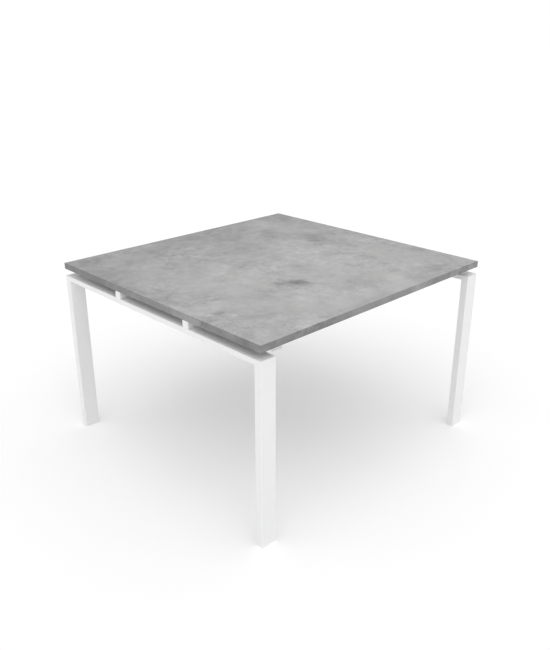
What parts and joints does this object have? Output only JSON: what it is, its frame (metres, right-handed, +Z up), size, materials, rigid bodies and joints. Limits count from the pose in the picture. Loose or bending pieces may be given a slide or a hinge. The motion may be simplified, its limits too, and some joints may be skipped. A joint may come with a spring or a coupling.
{
  "type": "conference table",
  "caption": "Nearly square conference table: concrete-look board floating above two white steel portals, carried by two rails, with levelling feet hidden in the leg ends.",
  "frame": {"origin": "on the floor, under the middle of the tabletop", "axes": "+X along the rails from the left portal to the right portal, +Y from the front side to the rear side, +Z up"},
  "size_m": [1.22, 1.16, 0.75],
  "materials": {
    "concrete_board": "matt melamine facing with a grey concrete look on chipboard",
    "concrete_edge": "matt 2 mm edge band with the same concrete look",
    "white_powder_coat": "fine satin powder coat, white",
    "white_plastic": "satin moulded plastic, white",
    "grey_plastic": "matt moulded plastic, dark grey",
    "zinc_steel": "bright zinc plating"
  },
  "bodies": {
    "table": {"tabletop_board": "concrete_board", "front_edge_band": "concrete_edge", "rear_edge_band": "concrete_edge", "left_edge_band": "concrete_edge", "right_edge_band": "concrete_edge", "left_beam": "white_powder_coat", "right_beam": "white_powder_coat", "left_front_leg": "white_powder_coat", "left_rear_leg": "white_powder_coat", "right_front_leg": "white_powder_coat", "right_rear_leg": "white_powder_coat", "front_rail": "white_powder_coat", "rear_rail": "white_powder_coat", "front_rail_left_cap": "white_plastic", "front_rail_right_cap": "white_plastic", "rear_rail_left_cap": "white_plastic", "rear_rail_right_cap": "white_plastic", "left_front_plug": "white_plastic", "left_rear_plug": "white_plastic", "right_front_plug": "white_plastic", "right_rear_plug": "white_plastic", "left_front_nut": "zinc_steel", "left_rear_nut": "zinc_steel", "right_front_nut": "zinc_steel", "right_rear_nut": "zinc_steel", "left_joint_screws": "zinc_steel", "right_joint_screws": "zinc_steel", "front_rivet_nuts": "zinc_steel", "rear_rivet_nuts": "zinc_steel", "front_top_screws": "zinc_steel", "rear_top_screws": "zinc_steel", "front_board_inserts": "zinc_steel", "rear_board_inserts": "zinc_steel"},
    "left_front_foot_pad": {"left_front_pad": "grey_plastic"},
    "left_front_foot_stud": {"left_front_stud": "zinc_steel"},
    "left_rear_foot_pad": {"left_rear_pad": "grey_plastic"},
    "left_rear_foot_stud": {"left_rear_stud": "zinc_steel"},
    "right_front_foot_pad": {"right_front_pad": "grey_plastic"},
    "right_front_foot_stud": {"right_front_stud": "zinc_steel"},
    "right_rear_foot_pad": {"right_rear_pad": "grey_plastic"},
    "right_rear_foot_stud": {"right_rear_stud": "zinc_steel"}
  },
  "joints": [
    {"name": "left_front_foot_travel", "type": "slide", "parent": "table", "child": "left_front_foot_pad", "axis": [0, 0, -1], "range_m": [0, 0.01]},
    {"name": "left_front_foot_turn", "type": "hinge", "parent": "left_front_foot_pad", "child": "left_front_foot_stud", "pos_m": [-0.5775, -0.565, 0.01], "axis": [0, 0, -1], "range_deg": [0, 2880]},
    {"name": "left_rear_foot_travel", "type": "slide", "parent": "table", "child": "left_rear_foot_pad", "axis": [0, 0, -1], "range_m": [0, 0.01]},
    {"name": "left_rear_foot_turn", "type": "hinge", "parent": "left_rear_foot_pad", "child": "left_rear_foot_stud", "pos_m": [-0.5775, 0.565, 0.01], "axis": [0, 0, -1], "range_deg": [0, 2880]},
    {"name": "right_front_foot_travel", "type": "slide", "parent": "table", "child": "right_front_foot_pad", "axis": [0, 0, -1], "range_m": [0, 0.01]},
    {"name": "right_front_foot_turn", "type": "hinge", "parent": "right_front_foot_pad", "child": "right_front_foot_stud", "pos_m": [0.5775, -0.565, 0.01], "axis": [0, 0, -1], "range_deg": [0, 2880]},
    {"name": "right_rear_foot_travel", "type": "slide", "parent": "table", "child": "right_rear_foot_pad", "axis": [0, 0, -1], "range_m": [0, 0.01]},
    {"name": "right_rear_foot_turn", "type": "hinge", "parent": "right_rear_foot_pad", "child": "right_rear_foot_stud", "pos_m": [0.5775, 0.565, 0.01], "axis": [0, 0, -1], "range_deg": [0, 2880]}
  ],
  "couplings": [
    {"joint": "left_front_foot_travel", "follows": "left_front_foot_turn", "m_per_rad": 0.0001989},
    {"joint": "left_rear_foot_travel", "follows": "left_rear_foot_turn", "m_per_rad": 0.0001989},
    {"joint": "right_front_foot_travel", "follows": "right_front_foot_turn", "m_per_rad": 0.0001989},
    {"joint": "right_rear_foot_travel", "follows": "right_rear_foot_turn", "m_per_rad": 0.0001989}
  ]
}
